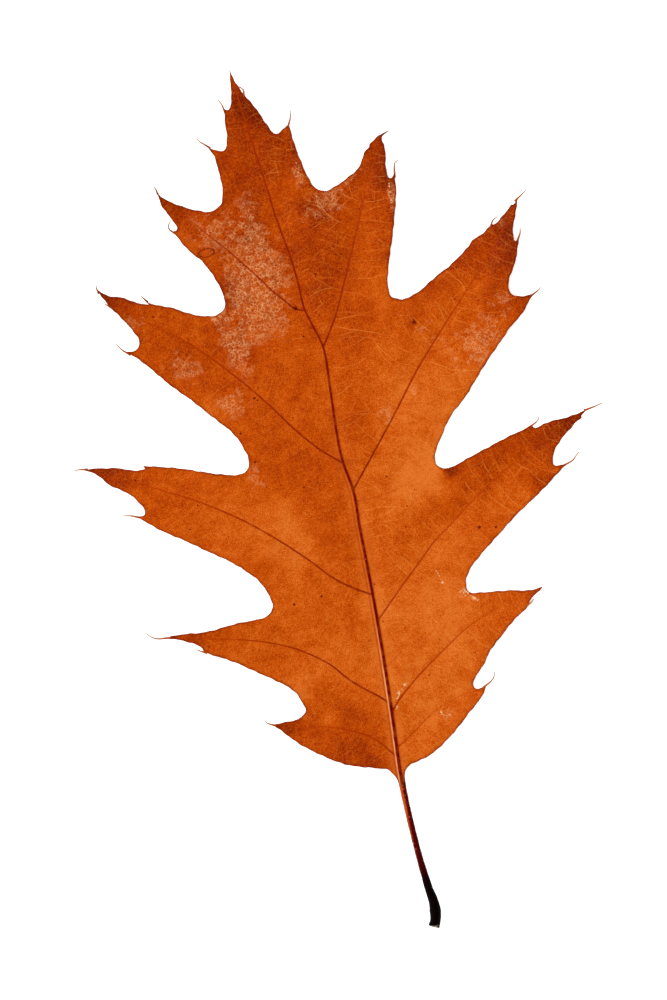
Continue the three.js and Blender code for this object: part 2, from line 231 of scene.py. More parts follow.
# Each lobe and tooth ends in a dry bristle, given by its root, one or two points and its end.
BRISTLES = [
    [(-25, 16.4), (-25.9, 16.9), (-26.5, 17.7)],
    [(-36, 35.7), (-36.7, 36.1), (-37.5, 36.7)],
    [(-43.2, 40.7), (-45.2, 41), (-46.3, 41.6), (-47.6, 42.9)],
    [(-43.3, 68.3), (-44.6, 68.9), (-46.6, 69.4)],
    [(-52.4, 81.4), (-53.5, 81.6), (-54.6, 81.7)],
    [(-36.9, 104.2), (-38, 105.3), (-38.9, 106.8)],
    [(-38.4, 115.2), (-38.8, 115.6), (-39.3, 116)],
    [(-40.1, 119.2), (-40.2, 119.8), (-40.1, 120.6)],
    [(-30.3, 114.8), (-30.7, 115.4), (-31.1, 115.9)],
    [(-20.7, 127.9), (-21.4, 128.7), (-21.5, 129.6), (-20.7, 130.5)],
    [(-22.2, 137.6), (-22.3, 138.2), (-22.7, 138.9)],
    [(-8.9, 144.7), (-9.8, 145.6), (-10.4, 146.2), (-10.9, 147)],
    [(-3.4, 151.6), (-3.6, 152.8), (-4.2, 154.2)],
    [(1.7, 154.1), (1.8, 154.9), (1.4, 155.5), (1, 155.9)],
    [(9.8, 145.2), (10.5, 146.6), (10.9, 148.5)],
    [(30.1, 129), (30.4, 130.6), (30.8, 131.5), (31.7, 131.9)],
    [(30.2, 138.4), (30.8, 138.6), (31.2, 138.6)],
    [(48.2, 112.9), (48.9, 113.9), (50.1, 114.4)],
    [(55.2, 117.2), (56.4, 117.9), (57.7, 118.7)],
    [(53.5, 108.8), (54, 109.6), (54.3, 110.8)],
    [(53.9, 95.9), (54.8, 96.3), (55.7, 96.9)],
    [(46.4, 67.5), (47.8, 68.1), (48.4, 68.6), (48.7, 69.1)],
    [(59.5, 68.2), (61, 68.4), (63.2, 68.8)],
    [(52, 57.4), (53.8, 58), (54.8, 58.9), (55.6, 59.4)],
    [(36.8, 29.2), (37.4, 29.5), (38, 30)],
    [(23, 13.7), (24.6, 14.5), (25.5, 15.5), (25.7, 16.6)],
]

BRISTLE_RADII = (0.27, 0.1)

# Where the blade is darker, below 0, or paler, above 0: x, y, radius and how much.
TONES = [
    # the ends of the lobes and teeth
    (-22.5, 15.3, 5.5, -0.34), (-40, 39.5, 9, -0.23), (-42.6, 40.7, 2.5, 0.2), (-50, 79.8, 8, -0.28),
    (-38.3, 117.5, 7.5, -0.34), (-35, 109.5, 5, 0.05), (-21.3, 135.5, 5, -0.24), (2.8, 151.5, 3.2, -0.45),
    (5, 146.5, 2.5, -0.26), (0.5, 151.5, 3.5, -0.42), (3, 150, 2.5, -0.16), (-1.5, 147, 9, -0.2),
    (29.3, 134, 4.5, -0.4), (28.7, 129.5, 3, -0.24), (29, 127, 3, -0.25), (52.5, 108, 7, -0.4),
    (53.5, 114, 5, -0.14), (48, 110, 8, -0.18), (55, 66.3, 7, -0.58), (51.8, 61.9, 5, -0.06),
    (46, 66, 6, -0.14), (40, 31.8, 4, -0.18),
    # the left half, from the stalk up
    (-6.5, 4.5, 6, -0.34), (-8, 14, 5, -0.16), (-5.8, 14, 3.5, -0.12), (-13, 9, 7, -0.12),
    (-17.8, 10.7, 3, -0.1), (-11.5, 12.8, 3.5, 0.16), (-17.5, 21.4, 3, 0.3), (-10.5, 19.7, 5, -0.16),
    (-6, 24.5, 5, 0.14), (-10.9, 34.7, 4, -0.14), (-28, 36, 4, 0.06), (-28.5, 38.5, 3, -0.12),
    (-18.9, 42.3, 2.5, 0.14), (-3.3, 50.3, 3.5, -0.1), (-12, 32, 8, 0.06), (-19, 52, 3, -0.16),
    (-19.5, 60.5, 6, 0.16), (-11.2, 54.9, 7, 0.32), (-2, 55.5, 6, -0.18), (-6.3, 67.9, 6, -0.2),
    (-11, 63, 5, 0.06), (-33, 70.5, 7, 0.02), (-43.9, 78, 6, -0.04), (-28.6, 75.1, 4, 0.14),
    (-6.4, 81.6, 6, 0.08), (-9, 77, 8, -0.06), (-19, 82, 5, 0.06), (-22.1, 87.7, 2.5, 0.14),
    (-20, 90, 5, 0.07), (-11.4, 97.7, 5, -0.24), (-3, 98, 6, 0.08), (-31.2, 111.7, 6, 0.12),
    (-24.5, 103, 6, -0.02), (-15.2, 104.4, 4, -0.1), (-11, 111, 4, -0.2), (-1.1, 113, 3.5, -0.14),
    (-6.5, 125, 4, -0.06), (-2, 122.5, 4, -0.08), (-18.2, 121.5, 4, 0.14), (-12.5, 111, 3, -0.18),
    (-3.3, 132.4, 3, -0.14), (-2, 135, 8, -0.12), (-3, 124.5, 3.5, -0.12), (-0.9, 137.6, 4, 0.1),
    (-3.4, 146.2, 4, 0.12), (2.9, 129.8, 4, 0.12),
    # the right half, from the stalk up
    (8, 6, 6, 0.08), (14.5, 6.5, 5, -0.15), (17.5, 12.5, 3, 0.12), (12, 22, 9, 0.1), (12, 27, 4, -0.14),
    (16.5, 21.5, 4, 0.08), (8, 32, 13, 0.1), (9.9, 35.4, 2.5, -0.2), (5, 36, 4, 0.12), (15, 35.5, 4, 0.14),
    (22, 40, 10, 0.08), (30, 27, 6, -0.16), (36.6, 32, 5, -0.12), (11.6, 47.1, 3.5, -0.1),
    (16.5, 58, 4, 0.1), (21, 54, 4, -0.28), (32.8, 44.7, 5, -0.12), (37.5, 48, 2.5, -0.16),
    (46, 55, 4.5, -0.26), (29.1, 60.5, 6, -0.22), (38, 64, 7, -0.22), (46.5, 53.6, 3.5, -0.2),
    (26.7, 62.3, 1.8, -0.75), (45, 67.3, 2.5, 0.1), (19.3, 63, 6, 0.3), (9, 64.2, 4, 0.12),
    (26, 68, 9, 0.16), (11, 71.3, 5, 0.08), (32, 76, 9, 0.14), (9, 76.5, 4, -0.2), (20, 81, 6, 0.28),
    (16, 88, 9, 0.06), (4.7, 92.7, 5, 0.04), (11.7, 97, 4, -0.12), (7.5, 104, 4, -0.1),
    (40.2, 85.3, 3, 0.1), (32, 91.8, 5, 0.18), (28, 102.5, 3, -0.06), (43.4, 93.7, 5, -0.04),
    (50, 96, 5, -0.2), (26.5, 96, 2.6, -0.15), (30, 104.5, 5, -0.15), (38.5, 106.3, 4, -0.1),
    (42.5, 109, 3, -0.14), (46.2, 107.9, 3, 0.3), (39, 100, 4, 0.12), (49.3, 103.5, 3, -0.16),
    (22, 108, 6, 0.08), (26, 112, 3.5, -0.36), (23, 116, 6, 0.06), (7.4, 110.4, 5, -0.16),
    (27.5, 120, 3, -0.24), (13, 121, 10, -0.15), (15.5, 127.5, 4.5, -0.1), (11.6, 126, 4, -0.14),
    (19, 123.6, 4, 0.12), (11.2, 134.5, 2.4, -0.26), (9.6, 132.8, 4, 0.12), (22, 130.5, 3, -0.14),
    (9.9, 140, 2, -0.24), (10, 137.5, 2.5, -0.2), (6, 142.7, 4, -0.12),
]
# Where the surface is rubbed and shiny, and its net of veins shows whitish, partly as worn skin and partly as
# a
# painted sheen off the raised veinlets: x, y, two radii, tilt in degrees and how much.
SHEEN_AND_WEAR_PATCHES = [
    (-5.5, 111, 7.5, 12, -10, 0.9), (-12.5, 126.5, 6.5, 5.5, 0, 0.42), (-3.5, 127.5, 2.6, 7, 0, 0.35),
    (-13.5, 100, 2.6, 6, 10, 0.6), (-34, 110.5, 4.5, 3.5, 20, 0.4), (-25.5, 98, 4.2, 5, 30, 0.5),
    (-17.5, 88, 4.5, 4, 0, 0.52), (14, 126.5, 7.5, 4.4, 25, 0.46), (9.3, 134, 1.4, 3.5, 0, 0.6),
    (28.3, 124.5, 1, 3.2, -8, 0.9), (39.5, 88.5, 7.5, 4.6, 40, 0.6), (47, 96, 3, 2.4, 0, 0.35),
    (15.5, 77, 2.4, 2.6, 0, 0.55), (22.8, 81, 2, 2, 0, 0.4), (-15.5, 70.5, 3, 3.4, 0, 0.4),
    (23.2, 35.3, 1.5, 1.3, 0, 0.7), (14, 9.5, 2.4, 1.4, 20, 0.4), (-18, 16.5, 2.4, 1.3, 0, 0.3),
    (-18.3, 35, 2, 1.6, 0, 0.25), (28, 93, 5, 8, 20, 0.25), (20, 130.6, 4, 1.2, 20, 0.35),
    (-16, 107.3, 1.6, 1.2, 0, 0.5), (-23, 66, 4, 2, 30, 0.2), (29, 31.5, 4, 2.5, 0, 0.15),
    (30, 62, 3.5, 2, 20, 0.2), (22, 58, 5, 3, 30, 0.2), (51.3, 113.6, 2.4, 1.1, 45, 0.45),
    (-29.5, 92.6, 0.8, 5, 38, 0.6),
]
# Dark specks: x, y and radius.
SPECKS = [
    (-11.9, 87.9, 0.42), (-11.3, 87.3, 0.3), (-16.7, 81, 0.35), (-15.1, 74.1, 0.34), (-14, 41.3, 0.4),
    (-7.7, 41.6, 0.36), (-29.7, 67.7, 0.28), (-32.6, 62.9, 0.26), (-20.1, 63.4, 0.22), (-5.8, 66.1, 0.3),
    (-41.9, 76.4, 0.3), (-6.5, 60.6, 0.22), (26.6, 96, 0.6), (30, 48.3, 0.5), (33.6, 47.5, 0.4),
    (2, 98.7, 0.35), (7.8, 111.5, 0.3), (6.7, 109.5, 0.22), (9.9, 102.9, 0.22), (-10.5, 90, 0.25),
    (14.2, 52.3, 0.24), (38.5, 105.6, 0.3), (-10.2, 129.3, 0.2), (4.4, 41.4, 0.26), (12.6, 64.1, 0.3),
    (18, 59.8, 0.2), (-21.5, 93.6, 0.22), (4.3, 33, 0.24), (-10.4, 117, 0.22), (-29.5, 110.7, 0.35),
    (22.6, 21.3, 0.2), (11.5, 19, 0.24), (33, 61.7, 0.22), (16.2, 35, 0.18), (-25.3, 31, 0.18),
    (1.7, 105.2, 0.6),
]
# Whitish flecks, where a bit of the skin has lifted: x, y and radius.
FLECKS = [
    (23.6, 35.5, 0.2), (23.8, 35.1, 0.26), (24.1, 34.7, 0.2), (24.6, 34, 0.17), (23.2, 34.9, 0.2),
    (26, 32.7, 0.16), (22.6, 35.3, 0.13), (23.4, 34.3, 0.14), (25.3, 33.5, 0.12), (18.4, 41.1, 0.12),
    (18.6, 40.6, 0.13), (18.8, 39.8, 0.13), (19, 39, 0.12), (19.2, 38.1, 0.13), (3.3, 15.5, 0.16),
    (3.5, 15.7, 0.18), (3.7, 15.9, 0.18), (3.9, 16.2, 0.18), (4.1, 16.4, 0.16), (2.75, 13.4, 0.14),
    (2.9, 13.7, 0.14), (4.9, 17.4, 0.12), (5.5, 18.3, 0.12), (12, 10.3, 0.11), (12.2, 9.9, 0.12),
    (12.6, 9.6, 0.12), (13, 9.4, 0.12), (13.4, 9.3, 0.11), (13.8, 9.4, 0.1), (28.4, 127.2, 0.2),
    (28.3, 126.6, 0.2), (28.2, 125.4, 0.18), (28, 123.6, 0.2), (27.9, 123, 0.18), (-35.6, 105.4, 0.16),
    (-13.8, 99.4, 0.18), (-13.4, 101, 0.16), (12.1, 128.3, 0.18), (9.4, 136.6, 0.16), (9.3, 134.4, 0.15),
]
SCAR = (-14.7, 121.8, 1.75, 0.9)  # a small dark ring: x, y and its two radii

# The cross veins leave the larger veins about this far apart, and fork so many times a millimetre.
CROSS_SPACING = 2
CROSS_SPREAD = (0.6, 1.4)  # the least and the most, as shares of that spacing
CROSS_FORKS = 0.17
CROSS_STEP = 0.17  # how far they grow at a time
CROSS_CELL = 0.34  # the width of the squares that hold no more than one vein
CROSS_WIDTH = 0.15
CROSS_LONGEST = 180  # steps
CROSS_SHORTEST = 6
CROSS_FREE = 9  # steps that one takes to be clear of the vein it leaves
CROSS_FORK_AFTER = 7
CROSS_END = 0.3  # how far from the margin they stop
CROSS_ANGLES = (70, 92)  # degrees between one and the vein it leaves
FORK_ANGLES = (1.0, 1.6)  # radians
CROSS_WANDER = 0.075  # how much the heading varies from step to step, in radians
CROSS_STEADY = 0.06  # how much of its wandering is taken back at each step
CROSS_BENDS = (-0.012, 0.03)  # the least and the most that the course itself bends
CROSS_BEND_SHARE = 0.6
CROSS_LIGHT = (0.35, 1)  # how pale the faintest and the clearest are
FORK_LIGHT = 0.75  # how pale a fork is, as a share of the vein it leaves

# How closely the points of the blade's mesh are set.
VEIN_STEP = 0.5
MARGIN_STEP = 0.45
UPPER_SPACING = 0.72
LOWER_SPACING = 0.95
MIDRIB_ROWS = (0, 0.2, 0.4, 0.6, 0.82, 1.1)  # how far from a vein's middle its rows of points lie
SIDE_ROWS = (0, 0.16, 0.36, 0.62)
FINE_ROWS = (0, 0.2)
CROSS_ROWS = (0, CROSS_WIDTH)
ROW_CELL = 0.13  # the width of the squares that hold no more than one point of those rows
MARGIN_CLEAR = 0.16  # how far from the margin those points stay
GRID_CLEAR = 0.58  # how far from them the points in between stay, as a share of the spacing
GRID_UNEVEN = 0.13  # how far those are out of line, as a share of the spacing
GRID_X = (-57, 66)
GRID_Y = (-4, 162)

# ---------------------------------------------------------------- shapes


def smooth(points, step):
    """Rows about step apart on a smooth curve through the points, from the first to the last."""
    p = np.array(points, float)
    if len(p) > 2:
        p = np.vstack([2 * p[0] - p[1], p, 2 * p[-1] - p[-2]])
        t = np.linspace(0, 1, 24, endpoint=False)[:, None]
        parts = []
        for a, b, c, d in zip(p, p[1:], p[2:], p[3:]):
            ab, bc, cd = (math.dist(u[:2], v[:2]) ** 0.5 for u, v in ((a, b), (b, c), (c, d)))
            leave = bc * ((b - a) / ab - (c - a) / (ab + bc)) + (c - b)
            arrive = bc * ((d - c) / cd - (d - b) / (bc + cd)) + (c - b)
            parts.append(
                (2 * t**3 - 3 * t**2 + 1) * b + (t**3 - 2 * t**2 + t) * leave
                + (3 * t**2 - 2 * t**3) * c + (t**3 - t**2) * arrive
            )
        p = np.vstack(parts + [p[-2]])
    run = np.concatenate([[0], np.cumsum(np.hypot(*np.diff(p[:, :2], axis=0).T))])
    places = np.linspace(0, run[-1], max(2, round(run[-1] / step) + 1))
    return np.stack([np.interp(places, run, column) for column in p.T], axis=1)


def surface_height(x, y):
    """Height of the middle of the blade over the table."""
    spread = np.minimum(1, abs(x - MIDDLE_X) / HALF_WIDTH)
    low_y = np.where(x < MIDDLE_X, LEFT_LOW_Y, RIGHT_LOW_Y)
    wave = 0.5 - 0.5 * np.cos(2 * math.pi * (y - low_y) / WAVE_LENGTH)
    past_tip_bend = np.maximum(0, y - TIP_BEND_Y) / (TIP_Y - TIP_BEND_Y)
    past_stalk_bend = np.maximum(0, STALK_BEND_Y - y) / (STALK_BEND_Y - STALK_END_Y)
    edge = (EDGE_LIFT + EDGE_DROP) * wave - EDGE_DROP
    return BLADE_HEIGHT + edge * spread**2 + TIP_LIFT * past_tip_bend**2 + STALK_LIFT * past_stalk_bend**2


def ripple(x, y):
    """The blade's small waves."""
    height = 0
    for size, length, direction, phase in RIPPLES:
        across = x * math.cos(math.radians(direction)) + y * math.sin(math.radians(direction))
        height = height + size * np.sin(2 * math.pi * across / length + phase)
    return height


def beside(points, offsets):
    """Copies of a line of points, moved to both of its sides by each of the offsets."""
    along = np.gradient(points, axis=0)
    normal = np.stack([-along[:, 1], along[:, 0]], axis=1) / np.hypot(*along.T)[:, None]
    return [points + side * offset * normal for offset in offsets for side in (1, -1)]


def circle(x, y, wide, high, count):
    turn = np.linspace(0, 2 * math.pi, count, endpoint=False)
    return np.stack([x + wide * np.cos(turn), y + high * np.sin(turn)], axis=1)


class Vein:
    """A vein as short straight pieces, each with its radius, how dark it is and how wide it looks."""

    def __init__(self, points, radii, darks, widths):
        rows = smooth(points, VEIN_STEP)
        share = np.linspace(0, 1, len(rows))
        self.points = rows[:, :2]
        self.run = share * np.hypot(*np.diff(self.points, axis=0).T).sum()
        self.radius = rows[:, 2] if radii is None else np.interp(share, [0, 1], radii)
        self.dark = np.interp(share, np.linspace(0, 1, len(darks)), darks)
        self.width = np.interp(share, np.linspace(0, 1, len(widths)), widths)

    def place(self, run):
        """The place so many millimetres along the vein."""
        return np.array([np.interp(run, self.run, column) for column in self.points.T])

    def nearest(self, place):
        """For each place: its distance, which side of the vein it is on, and the vein's row there."""
        best = np.full(len(place), 1e9)
        side = np.zeros(len(place))
        row = np.zeros(len(place))
        for i, (a, b) in enumerate(zip(self.points, self.points[1:])):
            ab = b - a
            share = np.clip((place - a) @ ab / (ab @ ab), 0, 1)
            away = place - a - share[:, None] * ab
            distance = np.hypot(*away.T)
            closer = distance < best
            best[closer] = distance[closer]
            side[closer] = np.sign(ab[1] * away[closer, 0] - ab[0] * away[closer, 1])
            row[closer] = i + share[closer]
        return best, side, row

    def at(self, values, row):
        """The vein's values at a row, which may lie between two of them."""
        return np.interp(row, np.arange(len(values)), values)


midrib = Vein(MIDRIB, None, MIDRIB_DARKS, MIDRIB_WIDTHS)
left_veins = [Vein(points, SIDE_RADII, LEFT_DARKS, SIDE_WIDTHS) for points in LEFT_VEINS]
right_veins = [Vein(points, SIDE_RADII, RIGHT_DARKS, SIDE_WIDTHS) for points in RIGHT_VEINS]
fine_veins = [Vein(points, FINE_RADII, FINE_DARKS, FINE_WIDTHS) for points in FINE_VEINS]
for number, share in VEIN_SHARES.items():
    left_veins[number].dark *= share
    right_veins[number].dark *= share
for vein in right_veins[:FAINT_RIGHT_VEINS]:
    vein.dark *= FAINT_SHARE
side_veins = left_veins + right_veins


def inside(place, loop):
    """Whether each place is inside the closed loop."""
    found = np.zeros(len(place), bool)
    for (x1, y1), (x2, y2) in zip(loop, np.roll(loop, -1, axis=0)):
        if y1 != y2:
            crosses = (y1 > place[:, 1]) != (y2 > place[:, 1])
            found ^= crosses & (place[:, 0] < x1 + (place[:, 1] - y1) * (x2 - x1) / (y2 - y1))
    return found


def tree_of(points):
    """The points, set out so that the nearest one to a place is quickly found."""
    tree = kdtree.KDTree(len(points))
    for i, (x, y) in enumerate(points):
        tree.insert((x, y, 0), i)
    tree.balance()
    return tree


def gaps(place, tree):
    """Distance from each place to the tree's nearest point."""
    return np.array([tree.find((x, y, 0))[2] for x, y in place])


def margin_loop():
    """The margin as points about MARGIN_STEP apart, with the small unevenness of a real one."""
    stretches = [MARGIN[0]] + [[before[-1]] + row for before, row in zip(MARGIN, MARGIN[1:])]
    rows = [smooth(stretch, MARGIN_STEP)[:-1] for stretch in stretches]
    loop = np.vstack(rows)
    run = np.arange(len(loop)) * MARGIN_STEP
    along = np.roll(loop, -1, axis=0) - np.roll(loop, 1, axis=0)
    normal = np.stack([along[:, 1], -along[:, 0]], axis=1) / np.maximum(np.hypot(*along.T), 1e-6)[:, None]
    uneven = 0.05 * np.sin(run * 1.7) + 0.04 * np.sin(run * 2.9 + 1) + 0.05 * np.sin(run * 0.61 + 2)
    ends = np.cumsum([0] + [len(r) for r in rows])
    from_end = np.array([min(abs(i - e) for e in ends) for i in range(len(loop))])
    return loop + normal * (uneven * np.minimum(1, from_end / 4))[:, None]


class Tip:
    """The growing end of a cross vein."""

    def __init__(self, place, angle, number, parent, light, bend):
        self.place = place
        self.angle = angle
        self.home = angle  # the heading that it keeps coming back to
        self.number = number
        self.parent = parent
        self.light = light
        self.bend = bend
        self.course = [place]


def cell(place):
    """The square of the blade that a place is in."""
    return round(place[0] / CROSS_CELL), round(place[1] / CROSS_CELL)


def cross_veins(margin):
    """Cross veins leave the larger ones, run over the blade, fork, and end where they meet a vein.

    The answer is a list of lines of points, each with how pale it is.
    """
    chance = np.random.default_rng(5)
    edge = tree_of(margin)
    taken = {}
    tips = []
    for number, vein in enumerate(side_veins + [midrib] + fine_veins):
        for run in np.arange(0, vein.run[-1], CROSS_CELL / 2):
            taken[cell(vein.place(run))] = number
    numbers = 100  # the larger veins have numbers below this
    for parent, vein in enumerate(side_veins + [midrib]):
        run = chance.uniform(0.5, CROSS_SPACING)
        while run < vein.run[-1]:
            ahead = vein.place(run + 0.5) - vein.place(run - 0.5)
            on_blade = vein.place(run)[1] > 1
            for side in (-1, 1) if on_blade else ():
                angle = math.atan2(ahead[1], ahead[0]) + side * math.radians(chance.uniform(*CROSS_ANGLES))
                numbers += 1
                bend = -side * chance.uniform(*CROSS_BENDS)
                light = chance.uniform(*CROSS_LIGHT)
                tips.append(Tip(vein.place(run), angle, numbers, parent, light, bend))
            run += CROSS_SPACING * chance.uniform(*CROSS_SPREAD)
    done = []
    while tips:
        growing = []
        for tip in tips:
            tip.angle += chance.normal(0, CROSS_WANDER) + CROSS_STEADY * (tip.home - tip.angle)
            tip.home += CROSS_BEND_SHARE * tip.bend
            tip.place = tip.place + CROSS_STEP * np.array([math.cos(tip.angle), math.sin(tip.angle)])
            tip.course.append(tip.place)
            met = taken.setdefault(cell(tip.place), tip.number)
            leaving = len(tip.course) < CROSS_FREE and met == tip.parent
            at_end = edge.find((*tip.place, 0))[2] < CROSS_END or len(tip.course) > CROSS_LONGEST
            if (met != tip.number and not leaving) or at_end:
                done.append(tip)
                continue
            growing.append(tip)
            if len(tip.course) > CROSS_FORK_AFTER and chance.random() < CROSS_FORKS * CROSS_STEP:
                angle = tip.angle + chance.choice([-1, 1]) * chance.uniform(*FORK_ANGLES)
                numbers += 1
                growing.append(Tip(tip.place, angle, numbers, tip.number, FORK_LIGHT * tip.light, 0))
        tips = growing
    return [(np.array(tip.course), tip.light) for tip in done if len(tip.course) > CROSS_SHORTEST]


def blade_places(margin, spacing, cross):
    """Points all over one face of the blade: closer together beside the veins and round the specks."""
    rows = beside(midrib.points, MIDRIB_ROWS)
    for vein in side_veins:
        rows += beside(vein.points, SIDE_ROWS)
    for vein in fine_veins:
        rows += beside(vein.points, FINE_ROWS)
    for x, y, radius in SPECKS + FLECKS:
        for share, count in ((0, 1), (0.5, 6), (1, 8)):
            rows.append(circle(x, y, share * radius, share * radius, count))
    x, y, wide, high = SCAR
    for share in (0.8, 1, 1.2):
        rows.append(circle(x, y, share * wide, share * high, 28))
    for line, _ in cross:
        rows += beside(line[::3], CROSS_ROWS)
    kept = {}
    for place in np.vstack(rows):
        kept.setdefault((round(place[0] / ROW_CELL), round(place[1] / ROW_CELL)), place)
    kept = np.array(list(kept.values()))
    kept = kept[inside(kept, margin)]
    kept = kept[gaps(kept, tree_of(margin)) > MARGIN_CLEAR]
    xs = np.arange(*GRID_X, spacing)
    ys = np.arange(*GRID_Y, spacing * 0.866)
    grid = np.stack(np.meshgrid(xs, ys), axis=2)
    grid[1::2, :, 0] += spacing / 2
    uneven = np.random.default_rng(3).standard_normal((xs.size * ys.size, 2))
    grid = grid.reshape(-1, 2) + GRID_UNEVEN * spacing * uneven
    grid = grid[inside(grid, margin)]
    grid = grid[gaps(grid, tree_of(np.vstack([margin, kept]))) > GRID_CLEAR * spacing]
    return np.vstack([kept, grid])


def blob(place, x, y, wide, high, tilt=0):
    """1 at the middle of a soft spot and 0 well outside it."""
    dx, dy = place[:, 0] - x, place[:, 1] - y
    c, s = math.cos(math.radians(tilt)), math.sin(math.radians(tilt))
    return np.exp(-(((dx * c + dy * s) / wide) ** 2 + ((dy * c - dx * s) / high) ** 2))


# What each point of the mesh says to the material. Gaps to a vein are in its own widths.
FACTS = ["midrib_side", "vein_gap", "vein_dark", "cross_gap", "cross_light", "margin_gap", "tone", "rubbed",
         "speck", "fleck", "underside", "stalk", "stalk_side", "bristle"]
FAR = {"vein_gap": 8, "cross_gap": 4, "margin_gap": 5}  # the largest gap of each kind that is told apart
FAR_FROM_MIDRIB = 6


def surface_facts(place, margin, cross):
    """What the material and the heights need to know about each place on the blade."""
    facts = {}
    gap, side, row = midrib.nearest(place)
    width = midrib.at(midrib.width, row)
    facts["midrib_side"] = np.clip(side * gap, -FAR_FROM_MIDRIB, FAR_FROM_MIDRIB)
    facts["vein_gap"] = np.clip(gap / width, 0, FAR["vein_gap"])
    facts["vein_dark"] = midrib.at(midrib.dark, row)
    facts["midrib_gap"] = gap
    facts["midrib_radius"] = midrib.at(midrib.radius, row)
    facts["side_gap"] = np.full(len(place), 20.0)
    facts["side_radius"] = np.full(len(place), 0.2)
    for vein in side_veins + fine_veins:
        gap, _, row = vein.nearest(place)
        relative = np.clip(gap / vein.at(vein.width, row), 0, FAR["vein_gap"])
        nearer = relative < facts["vein_gap"]
        facts["vein_gap"][nearer] = relative[nearer]
        facts["vein_dark"][nearer] = vein.at(vein.dark, row)[nearer]
        if vein in side_veins:
            nearer = gap < facts["side_gap"]
            facts["side_gap"][nearer] = gap[nearer]
            facts["side_radius"][nearer] = vein.at(vein.radius, row)[nearer]
    facts["margin_gap"] = np.clip(gaps(place, tree_of(margin)), 0, FAR["margin_gap"])
    light = np.concatenate([np.full(len(line), tone) for line, tone in cross])
    tree = tree_of(np.vstack([line for line, _ in cross]))
    found = [tree.find((x, y, 0)) for x, y in place]
    facts["cross_gap"] = np.clip(np.array([f[2] for f in found]) / CROSS_WIDTH, 0, FAR["cross_gap"])
    facts["cross_light"] = light[[f[1] for f in found]]
    facts["tone"] = sum(much * blob(place, x, y, r, r) for x, y, r, much in TONES)
    facts["rubbed"] = np.clip(sum(row[5] * blob(place, *row[:5]) for row in SHEEN_AND_WEAR_PATCHES), 0, 1)
    for name, spots in (("speck", SPECKS), ("fleck", FLECKS)):
        facts[name] = np.zeros(len(place))
        for x, y, radius in spots:
            near = 1 - np.hypot(place[:, 0] - x, place[:, 1] - y) / radius
            facts[name] = np.maximum(facts[name], np.clip(2 * near, 0, 1))
    x, y, wide, high = SCAR
    ring = np.hypot((place[:, 0] - x) / wide, (place[:, 1] - y) / high)
    facts["speck"] = np.maximum(facts["speck"], np.clip(0.9 - abs(ring - 1) / 0.2, 0, 1))
    return facts


def blade_heights(place, facts):
    """Heights of the upper and lower face at each place."""
    middle = surface_height(place[:, 0], place[:, 1]) + ripple(place[:, 0], place[:, 1])
    swell = 1 - np.exp(-((np.minimum(facts["side_gap"], facts["midrib_gap"]) / PUCKER_WIDTH) ** 2))
    middle = middle + PUCKER * swell - PUCKER_SINK
    thick = BLADE_THICKNESS * np.interp(facts["margin_gap"], [0, THIN_EDGE], [THIN_SHARE, 1])
    top = middle + thick / 2 - GROOVE_DEPTH * np.exp(-((facts["side_gap"] / GROOVE_WIDTH) ** 2))
    top = top + CROSS_RISE * np.maximum(0, 1 - facts["cross_gap"])
    bottom = middle - thick / 2
    for gap, radius, drop in (
        (facts["midrib_gap"], facts["midrib_radius"], MIDRIB_DROP),
        (facts["side_gap"], facts["side_radius"], VEIN_DROP),
    ):
        round_part = np.sqrt(np.maximum(0, 1 - (gap / radius) ** 2)) * radius
        on_it = gap < radius
        centre = middle - drop * radius
        top = np.where(on_it, np.maximum(top, centre + round_part), top)
        bottom = np.where(on_it, np.minimum(bottom, centre - round_part), bottom)
    bottom = np.maximum(bottom, LEAST_HEIGHT)
    return np.maximum(top, bottom + LEAST_THICKNESS), bottom


# ---------------------------------------------------------------- the mesh

class Sheet:
    """The leaf's mesh, put together from its parts."""

    def __init__(self):
        self.vertices = []
        self.faces = []
        self.facts = []

    def add(self, vertices, faces, **facts):
        """Takes in one part, with what each of its vertices says. A fact that isn't given is 0 or far."""
        start = sum(len(v) for v in self.vertices)
        self.vertices.append(np.asarray(vertices, float))
        self.faces += [[start + i for i in face] for face in faces]
        table = np.zeros((len(vertices), len(FACTS)))
        for name, value in (FAR | facts).items():
            table[:, FACTS.index(name)] = value
        self.facts.append(table)

    def add_rod(self, rows, lift, sides, **facts):
        """A round rod along rows of x, y and radius, lying a share of its radius above the blade's middle."""
        x, y, radius = rows.T
        centre = np.stack([x, y, surface_height(x, y) + lift * radius], axis=1)
        along = np.gradient(centre, axis=0)
        along /= np.linalg.norm(along, axis=1)[:, None]
        across = np.cross(along, (0, 0, 1))
        across /= np.linalg.norm(across, axis=1)[:, None]
        upward = np.cross(across, along)
        turn = np.linspace(0, 2 * math.pi, sides, endpoint=False)
        ring = across[:, None] * np.cos(turn)[None, :, None] + upward[:, None] * np.sin(turn)[None, :, None]
        vertices = (centre[:, None] + ring * radius[:, None, None]).reshape(-1, 3)
        vertices[:, 2] = np.maximum(vertices[:, 2], LEAST_HEIGHT)
        faces = []
        for i in range(len(rows) - 1):
            for k in range(sides):
                a, b = i * sides + k, i * sides + (k + 1) % sides
                faces.append((a, b, b + sides, a + sides))
        faces.append(tuple(reversed(range(sides))))
        faces.append(tuple(range((len(rows) - 1) * sides, len(rows) * sides)))
        stretched = {}
        for name, value in facts.items():
            stretched[name] = np.repeat(value, sides) if np.ndim(value) else value
        if "stalk" in facts:
            stretched["stalk_side"] = np.tile(np.cos(turn), len(rows))
        self.add(vertices, faces, **stretched)


